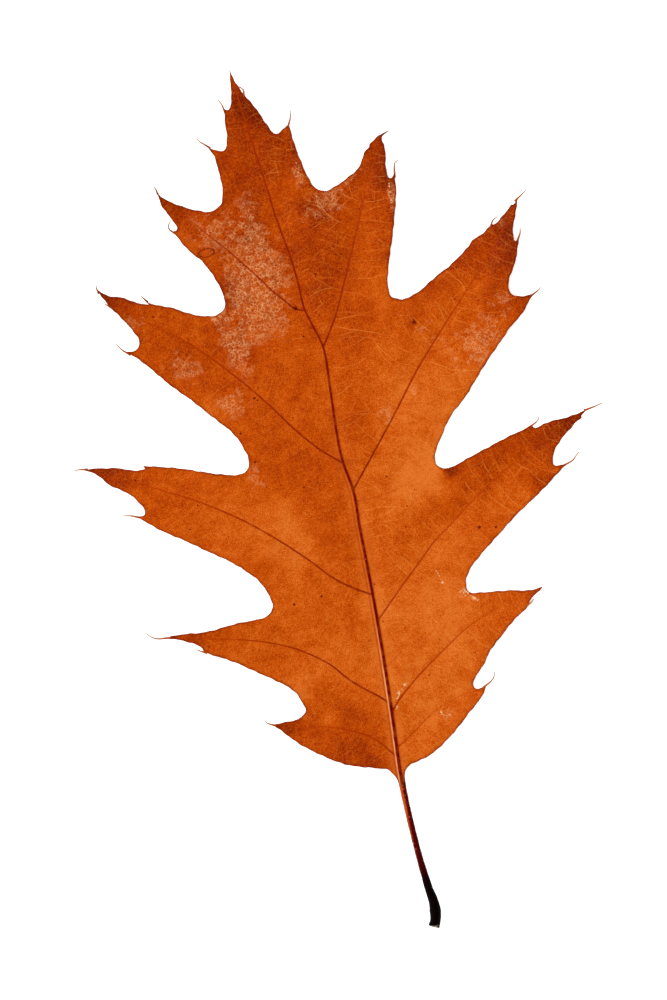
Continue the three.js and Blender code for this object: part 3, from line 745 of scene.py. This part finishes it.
def add_blade(sheet):
    """The blade's upper and lower face, joined all along the margin."""
    margin = margin_loop()
    cross = cross_veins(margin)
    faces = []
    vertices = []
    shown = {name: [] for name in FACTS}
    for underside, spacing, lines in ((0, UPPER_SPACING, cross), (1, LOWER_SPACING, [])):
        start = [tuple(p) for p in np.vstack([margin, blade_places(margin, spacing, lines)])]
        made = delaunay_2d_cdt(start, [], [list(range(len(margin)))], 1, 1e-5)
        place = np.array([tuple(v) for v in made[0]])
        facts = surface_facts(place, margin, cross)
        facts["underside"] = np.full(len(place), underside)
        height = blade_heights(place, facts)[underside]
        below = len(vertices)
        vertices += np.column_stack([place, height]).tolist()
        for name in FACTS:
            shown[name].append(facts.get(name, np.zeros(len(place))))
        if underside:
            faces += [(c + below, b + below, a + below) for a, b, c in made[2]]
        else:
            faces += [tuple(face) for face in made[2]]
    turned = {(a, b) for face in faces for a, b in zip(face, face[1:] + face[:1])}
    rim = [edge for edge in turned if max(edge) < len(margin) and edge[::-1] not in turned]
    faces += [(b, a, a + below, b + below) for a, b in sorted(rim)]
    sheet.add(vertices, faces, **{name: np.concatenate(parts) for name, parts in shown.items()})


def add_stalk(sheet):
    """The stalk, which runs a little way into the blade and is slightly knobbly below it."""
    rows = smooth(MIDRIB, VEIN_STEP)
    rows = rows[rows[:, 1] < 3]
    rows[:, 2] *= np.interp(rows[:, 1], [-3, 3], [1, 0.9])
    wobble = 1 + 0.02 * np.sin(rows[:, 1] * 1.9) + 0.015 * np.sin(rows[:, 1] * 4.3 + 1)
    rows[:, 2] *= np.where(rows[:, 1] < -4, wobble, 1)
    sheet.add_rod(rows, -MIDRIB_DROP, 28, stalk=1)


def add_bristles(sheet):
    """A thin rod for each bristle, which starts a little way inside the blade."""
    for points in BRISTLES:
        root, after = np.array(points[0]), np.array(points[1])
        back = root + 0.8 * (root - after) / math.dist(root, after)
        rows = smooth([tuple(back)] + points, 0.3)
        radius = np.linspace(*BRISTLE_RADII, len(rows))
        sheet.add_rod(np.column_stack([rows, radius]), 0, 8, bristle=np.linspace(0, 1, len(rows)), tone=-0.25)


def to_frame():
    """How far the drawing's (0, 0) is from the frame's origin, in metres."""
    low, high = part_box("oak_leaf")
    across = [p[0] for bristle in BRISTLES for p in bristle]
    return (low.x + high.x) / 2 - (min(across) + max(across)) / 2 * MM, high.y - TIP_Y * MM


def make_leaf():
    """The whole leaf as one object, in the frame's metres."""
    sheet = Sheet()
    add_blade(sheet)
    add_stalk(sheet)
    add_bristles(sheet)
    vertices = np.vstack(sheet.vertices) * MM
    vertices[:, :2] += to_frame()
    mesh = bpy.data.meshes.new("dry_leaf")
    mesh.from_pydata(vertices.tolist(), [], sheet.faces)
    facts = np.vstack(sheet.facts)
    for i, name in enumerate(FACTS):
        column = mesh.attributes.new(name, "FLOAT", "POINT")
        column.data.foreach_set("value", facts[:, i].astype(np.float32))
    mesh.polygons.foreach_set("use_smooth", [True] * len(mesh.polygons))
    mesh.set_sharp_from_angle(angle=math.radians(50))
    mesh.update()
    leaf = bpy.data.objects.new("dry_leaf", mesh)
    bpy.context.scene.collection.objects.link(leaf)
    return leaf


# ---------------------------------------------------------------- materials


STUDIO_LIGHT = 1.6  # how much brighter than plain white the studio's light makes a white table


def colour(red, green, blue):
    """The paint that shows as those values, 0 to 255, on a screen in the studio's light."""
    linear = [((v / 255 + 0.055) / 1.055) ** 2.4 if v > 10.3 else v / 255 / 12.92 for v in (red, green, blue)]
    return (*(v / STUDIO_LIGHT for v in linear), 1)


class Value:
    """Something that varies over a surface, as one output of a material's nodes."""

    def __init__(self, paint, socket):
        self.paint = paint
        self.socket = socket

    def maths(self, operation, *others):
        return self.paint.node("ShaderNodeMath", [self, *others], operation=operation)

    def __add__(self, other):
        return self.maths("ADD", other)

    def __radd__(self, other):
        return self.maths("ADD", other)

    def __sub__(self, other):
        return self.maths("SUBTRACT", other)

    def __rsub__(self, other):
        return self.paint.node("ShaderNodeMath", [other, self], operation="SUBTRACT")

    def __mul__(self, other):
        return self.maths("MULTIPLY", other)

    def __rmul__(self, other):
        return self.maths("MULTIPLY", other)

    def __abs__(self):
        return self.maths("ABSOLUTE")

    def most(self, other):
        return self.maths("MAXIMUM", other)

    def between(self, low, high, to_low=0.0, to_high=1.0):
        """Goes smoothly from to_low at low to to_high at high."""
        inputs = {"Value": self, "From Min": low, "From Max": high, "To Min": to_low, "To Max": to_high}
        return self.paint.node("ShaderNodeMapRange", inputs, interpolation_type="SMOOTHSTEP")


class Paint:
    """A material made of nodes."""

    def __init__(self, name):
        self.material = bpy.data.materials.new(name)
        self.material.use_nodes = True
        self.tree = self.material.node_tree
        self.shader = self.tree.nodes["Principled BSDF"]

    def node(self, kind, inputs=(), output=0, **settings):
        """One output of a new node. Its inputs are given in order, or by name or number."""
        node = self.tree.nodes.new(kind)
        for name, value in settings.items():
            setattr(node, name, value)
        pairs = inputs.items() if isinstance(inputs, dict) else enumerate(inputs)
        for key, value in pairs:
            self.connect(node.inputs[key], value)
        return Value(self, node.outputs[output])

    def connect(self, socket, value):
        if isinstance(value, Value):
            self.tree.links.new(value.socket, socket)
        else:
            socket.default_value = value

    def mix(self, share, first, second):
        """A colour that is first where share is 0, and second where it is 1."""
        inputs = {0: share, 6: first, 7: second}
        return self.node("ShaderNodeMix", inputs, 2, data_type="RGBA", clamp_factor=True)

    def ramp(self, share, stops):
        """A colour that goes through the stops, each with its place from 0 to 1 and its colour."""
        found = self.node("ShaderNodeValToRGB", [share])
        ramp = found.socket.node.color_ramp
        for place, tone in stops[1:-1]:
            ramp.elements.new(place).color = tone
        ramp.elements[0].color = stops[0][1]
        ramp.elements[-1].color = stops[-1][1]
        return found

    def noise(self, place, size, detail=2.0, roughness=0.5, shift=0.0):
        """Soft noise from 0 to 1, with spots of about that size. The shift makes it another noise."""
        moved = self.node("ShaderNodeVectorMath", [place, (shift, 1.7 * shift, 0)], operation="ADD")
        inputs = {"Vector": moved, "Scale": 1 / size, "Detail": detail, "Roughness": roughness}
        return self.node("ShaderNodeTexNoise", inputs, "Fac")

    def cells(self, place, size, feature="DISTANCE_TO_EDGE"):
        """Distance to the edge of net cells of about that size, from 0 at the edge."""
        inputs = {"Vector": place, "Scale": 1 / size}
        return self.node("ShaderNodeTexVoronoi", inputs, "Distance", feature=feature)


BLADE_TONES = [
    (0, colour(118, 26, 0)), (0.25, colour(148, 40, 0)), (0.5, colour(184, 64, 0)),
    (0.75, colour(208, 86, 4)), (1, colour(228, 118, 42)),
]
BLADE_TONE = 0.585  # where on those the blade is, before anything makes it paler or darker
NET = colour(232, 120, 20)
FINE_NET = colour(150, 44, 0)
CROSS_VEIN = colour(240, 140, 54)
# whitish skin and net of the shiny, rubbed places: partly wear, partly painted sheen
SHEEN_AND_WORN_SKIN = colour(224, 130, 64)
SHINY_WORN_NET = colour(250, 184, 126)
BESIDE_MIDRIB = colour(228, 122, 42)
BESIDE_VEIN = colour(176, 54, 0)
FAINT_VEIN = colour(196, 66, 0)
DARK_VEIN = colour(108, 0, 0)
MIDRIB_EDGE = colour(172, 48, 0)
# painted highlight along the left of the raised midrib
MIDRIB_PAINTED_HIGHLIGHT = colour(240, 164, 104)
RIM = colour(122, 30, 0)
SPECK = colour(84, 4, 0)
FLECK = colour(252, 208, 152)
UNDER_DARK = colour(150, 84, 40)
UNDER_PALE = colour(196, 126, 70)
UNDER_NET = colour(214, 158, 104)
UNDER_VEIN = colour(176, 108, 52)
UNDER_DARKER = colour(116, 58, 26)
# the stalk's lit left and shaded right side: painted light and shade
STALK_LIT_LEFT = colour(204, 84, 18)
STALK_SHADED_RIGHT = colour(92, 0, 0)
STALK_LOW = colour(66, 0, 0)
STALK_CHIP = colour(206, 110, 70)
STALK_FOOT = colour(8, 0, 0)
STALK_BREAK = colour(190, 160, 130)
BRISTLE = colour(196, 132, 88)
SKIN_SHINE = 0.04  # Specular IOR Level: the dry skin is only faintly glossy


class LeafPaint(Paint):
    """The leaf's material: its two faces, with their veins and marks, and its stalk and bristles."""

    def __init__(self):
        super().__init__("dry oak leaf")
        where = self.node("ShaderNodeTexCoord", output="Object")
        self.place = self.node("ShaderNodeVectorMath", [where, (1 / MM, 1 / MM, 0)], operation="MULTIPLY")
        self.y = self.node("ShaderNodeSeparateXYZ", [self.place], "Y")
        self.fact = {}
        for name in FACTS:
            self.fact[name] = self.node("ShaderNodeAttribute", output="Fac", attribute_name=name)
        self.grain = self.noise(self.place, 0.9, 2, 0.6, 80)
        self.dust = self.noise(self.place, 0.24, 1, 0.5, 20)
        lengthwise = self.node("ShaderNodeVectorMath", [self.place, (3, 0.4, 1)], operation="MULTIPLY")
        self.streak = self.noise(lengthwise, 1.2, 2, 0.6, 5)
        warp = self.node("ShaderNodeTexNoise", {"Vector": self.place, "Scale": 0.9}, "Color")
        self.warped = self.node("ShaderNodeVectorMath", [self.place, warp], operation="ADD")
        self.net = self.cells(self.warped, 0.95).between(0.12, 0.0)
        self.fine_net = self.cells(self.warped, 0.42).between(0.13, 0.0)
        self.shown = self.noise(self.place, 6, 2, 0.5, 60).between(0.36, 0.6, 0.25, 1)
        self.tone = self.blade_tone()
        self.cross_line = self.cross_lines()
        self.vein = self.veins()

    def blade_tone(self):
        """How pale the blade is, from 0 to 1: paler low and right, browner near the tip and lobes' ends."""
        x = self.node("ShaderNodeSeparateXYZ", [self.place], "X")
        clouds = self.noise(self.place, 13, 3, 0.55)
        mottle = self.noise(self.place, 3.2, 3, 0.6, 40)
        tone = BLADE_TONE + (clouds - 0.5) * 0.6 + (mottle - 0.5) * 0.65
        tone = tone + (self.grain - 0.5) * 0.5 + (self.dust - 0.5) * 1.3
        tone = tone + self.y.between(75, -50, -0.1, 0.12) + x.between(-50, 40, -0.03, 0.05)
        return tone + self.fact["tone"]

    def cross_lines(self):
        """Where the cross veins are. They show less on the left half."""
        line = self.fact["cross_gap"].between(0.95, 0.05) * self.fact["cross_light"]
        return line * self.shown * self.fact["midrib_side"].between(-2, 3, 0.4, 1)

    def veins(self):
        """Where the midrib and the side veins are, a little broken up."""
        vein = self.fact["vein_gap"].between(1.45, 0.7) * self.fact["vein_dark"].between(0, 0.55)
        return vein * self.noise(self.place, 1.8, 1, 0.5, 11).between(0.25, 0.6, 0.7, 1)

    def upper_face(self):
        """The blade's tones, with the cross veins and the finer net between them."""
        blade = self.ramp(self.tone, BLADE_TONES)
        blade = self.mix(self.net * (0.08 + 0.18 * self.shown), blade, NET)
        blade = self.mix(self.fine_net * 0.12, blade, FINE_NET)
        return self.mix(self.cross_line * 0.56, blade, CROSS_VEIN)

    def shiny_worn_patches(self, blade):
        """Rubbed, shiny places, where the net of veins looks whitish: partly worn skin and partly a painted
        sheen off the raised veinlets.
        """
        rubbed = self.fact["rubbed"]
        patch_cells = self.node("ShaderNodeTexVoronoi", {"Vector": self.warped, "Scale": 0.7}, "Color")
        patch_cell = self.node("ShaderNodeSeparateXYZ", [patch_cells], "X")
        ragged = (self.noise(self.place, 3, 4, 0.7, 33) - 0.5) * 1.6 + (patch_cell - 0.5) * 0.4
        shiny_worn_patches = (rubbed * 1.3 + ragged).between(0.38, 0.54)
        shiny_worn_patches = shiny_worn_patches * rubbed.between(0.08, 0.3) * rubbed.between(0.2, 0.85, 0.45, 1)
        dash_patches = self.noise(self.place, 1.1, 1, 0.5, 17).between(0.38, 0.56)
        dashes = self.cells(self.place, 0.68).between(0.14, 0.03) * dash_patches
        # Painted sheen and wear: whitish skin and net, partly worn skin and partly the highlight off the
        # raised veinlets.
        blade = self.mix(shiny_worn_patches * (0.05 + patch_cell * 0.24), blade, SHEEN_AND_WORN_SKIN)
        return self.mix(shiny_worn_patches * dashes.most(self.cross_line) * 0.54, blade, SHINY_WORN_NET)

    def draw_veins(self, blade):
        """The veins, with a paler band beside the midrib, and a painted highlight along the midrib's left,
        where the raised rib catches the light.
        """
        side, dark = self.fact["midrib_side"], self.fact["vein_dark"]
        near_midrib = abs(side).between(3, 0.7) * self.y.between(40, -30)
        blade = self.mix(near_midrib * 0.3, blade, BESIDE_MIDRIB)
        fringe = self.fact["vein_gap"].between(2.3, 0.9) * dark
        blade = self.mix(fringe * 0.35, blade, BESIDE_VEIN)
        blade = self.mix(self.vein, blade, self.mix(dark, FAINT_VEIN, DARK_VEIN))
        edge = side.between(-1.2, -1) * side.between(-0.62, -0.78) * self.y.between(30, -10)
        blade = self.mix(edge * 0.5, blade, MIDRIB_EDGE)
        # Painted highlight: a pale line on the left of the raised midrib, as if lit from the left.
        painted_highlight = side.between(-0.72, -0.6) * side.between(-0.32, -0.44) * self.y.between(-22, -46)
        return self.mix(painted_highlight * self.streak.between(0.35, 0.6, 0.35, 0.95), blade, MIDRIB_PAINTED_HIGHLIGHT)

    def draw_marks(self, blade):
        """The dark margin, the specks and tiny dots, and the whitish flecks."""
        gap = self.fact["margin_gap"]
        rim = gap.between(0.75, 0.05) * self.noise(self.place, 4, 2, 0.5, 7).between(0.3, 0.65, 0.15, 0.75)
        blade = self.mix(rim.most(gap.between(0.35, 0.1) * 0.6), blade, RIM)
        dots = self.cells(self.place, 2.6, "F1").between(0.075, 0.03)
        dots = dots * self.noise(self.place, 9, 1, 0.5, 55).between(0.45, 0.6)
        blade = self.mix(dots.most(self.fact["speck"]) * 0.88, blade, SPECK)
        return self.mix(self.fact["fleck"] * self.grain.between(0.3, 0.5, 0.55, 1), blade, FLECK)

    def lower_face(self):
        """The paler, matt underside."""
        face = self.mix(self.tone, UNDER_DARK, UNDER_PALE)
        face = self.mix(self.net * 0.4 + self.fine_net * 0.15, face, UNDER_NET)
        face = self.mix(self.fact["vein_gap"].between(2.2, 0.8) * 0.7, face, UNDER_VEIN)
        return self.mix(self.fact["tone"] * -1.2, face, UNDER_DARKER)

    def stalk(self):
        """The stalk: its brown painted lit orange-brown on its left and shaded dark maroon on its right, as
        if lit from the left, and black at its swollen end.
        """
        side = self.fact["stalk_side"] + (self.streak - 0.5) * 0.8 + self.y.between(-66, -84) * 0.75
        # Painted light and shade: the left side lit orange-brown, the right side shaded dark maroon.
        stalk = self.mix(side.between(-0.6, 0.2), STALK_LIT_LEFT, STALK_SHADED_RIGHT)
        stalk = self.mix(self.y.between(-70, -84) * 0.75, stalk, STALK_LOW)
        chips = self.noise(self.place, 0.45, 1, 0.5, 62).between(0.6, 0.68)
        chips = chips * side.between(0.9, 0.2) * self.y.between(-86, -78)
        stalk = self.mix(chips * 0.8, stalk, STALK_CHIP)
        stalk = self.mix(self.y.between(-82, -88), stalk, STALK_FOOT)
        end = self.y.between(-97.2, -97.7) * self.noise(self.place, 1.1, 2, 0.6, 3).between(0.4, 0.6)
        return self.mix(end * 0.85, stalk, STALK_BREAK)

    def grained_skin(self):
        """The skin's fine grain, with the net of veins pressed into it."""
        relief = self.net * -0.3 + self.fine_net * -0.2 + self.grain * 0.5 + self.dust * 0.4 - self.vein * 0.3
        inputs = {"Strength": 0.55, "Distance": 0.09 * MM, "Height": relief}
        return self.node("ShaderNodeBump", inputs, "Normal")


def leaf_paint():
    paint = LeafPaint()
    blade = paint.draw_marks(paint.draw_veins(paint.shiny_worn_patches(paint.upper_face())))
    blade = paint.mix(paint.fact["underside"], blade, paint.lower_face())
    blade = paint.mix(paint.fact["stalk"], blade, paint.stalk())
    blade = paint.mix(paint.fact["bristle"], blade, BRISTLE)
    roughness = 0.34 + paint.grain * 0.12 + paint.fact["underside"] * 0.35 + paint.fact["stalk"] * 0.3
    paint.connect(paint.shader.inputs["Base Color"], blade)
    paint.connect(paint.shader.inputs["Roughness"], roughness)
    paint.connect(paint.shader.inputs["Normal"], paint.grained_skin())
    paint.shader.inputs["Specular IOR Level"].default_value = SKIN_SHINE
    return paint.material


def plain_paint(name, tone, roughness, glow):
    paint = Paint(name)
    paint.shader.inputs["Base Color"].default_value = tone
    paint.shader.inputs["Roughness"].default_value = roughness
    paint.shader.inputs["Specular IOR Level"].default_value = 0.0
    paint.shader.inputs["Emission Color"].default_value = (1, 1, 1, 1)
    paint.shader.inputs["Emission Strength"].default_value = glow
    return paint.material


# ---------------------------------------------------------------- floor, light and camera

VIEW_TURN = 13.5617  # how far the leaf leans to the left in the view, in degrees
VIEW_MIDDLE = (-4.38, -0.34)  # what the camera looks straight down at, in millimetres
VIEW_HIGH = 222.5  # how much it sees from top to bottom
CAMERA_HEIGHT = 1.6
SENSOR = 24
FLOOR_HALF = 4
FLOOR_DROP = 0.00005  # how far the table lies below the leaf
FLOOR_GLOW = 0.38  # the table is faintly lit from below, which softens the shadows
WORLD_GLOW = 0.1


def make_floor():
    mesh = bpy.data.meshes.new("floor")
    corners = [(x * FLOOR_HALF, y * FLOOR_HALF, 0) for x, y in ((-1, -1), (1, -1), (1, 1), (-1, 1))]
    mesh.from_pydata(corners, [], [(0, 1, 2, 3)])
    floor = bpy.data.objects.new("floor", mesh)
    floor.location.z = -FLOOR_DROP
    mesh.materials.append(plain_paint("pale floor", (0.93, 0.93, 0.93, 1), 0.9, FLOOR_GLOW))
    bpy.context.scene.collection.objects.link(floor)


def make_light(name, place, size, power, glossy):
    """A round light that points at the leaf. Only a glossy one is mirrored by what it shines on."""
    data = bpy.data.lights.new(name, "AREA")
    data.shape = "DISK"
    data.size = size
    data.energy = power
    light = bpy.data.objects.new(name, data)
    light.location = place
    light.rotation_euler = (-light.location).to_track_quat("-Z", "Y").to_euler()
    light.visible_camera = False
    light.visible_glossy = glossy
    bpy.context.scene.collection.objects.link(light)


def make_studio():
    """The table, a broad soft light overhead, and a smaller one from the upper left for some gloss."""
    make_floor()
    make_light("overhead", (-0.2, 0.2, 2.4), 2.6, 95, False)
    make_light("key", (-1.3, 0.5, 1.1), 0.7, 14, True)
    world = bpy.data.worlds.new("studio")
    world.use_nodes = True
    world.node_tree.nodes["Background"].inputs["Color"].default_value = (1, 1, 1, 1)
    world.node_tree.nodes["Background"].inputs["Strength"].default_value = WORLD_GLOW
    bpy.context.scene.world = world
    bpy.context.scene.view_settings.view_transform = "Standard"
    bpy.context.scene.view_settings.look = "None"


def make_camera():
    data = bpy.data.cameras.new("camera")
    data.sensor_fit = "VERTICAL"
    data.sensor_height = SENSOR
    data.lens = SENSOR * CAMERA_HEIGHT / (VIEW_HIGH * MM)
    data.clip_start = 0.01
    camera = bpy.data.objects.new("camera", data)
    camera.location = (VIEW_MIDDLE[0] * MM, VIEW_MIDDLE[1] * MM, CAMERA_HEIGHT)
    camera.rotation_euler = (0, 0, -math.radians(VIEW_TURN))
    bpy.context.scene.collection.objects.link(camera)
    bpy.context.scene.camera = camera


leaf = make_leaf()
leaf.data.materials.append(leaf_paint())
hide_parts("oak_leaf")
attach(leaf, "root")
make_studio()
make_camera()
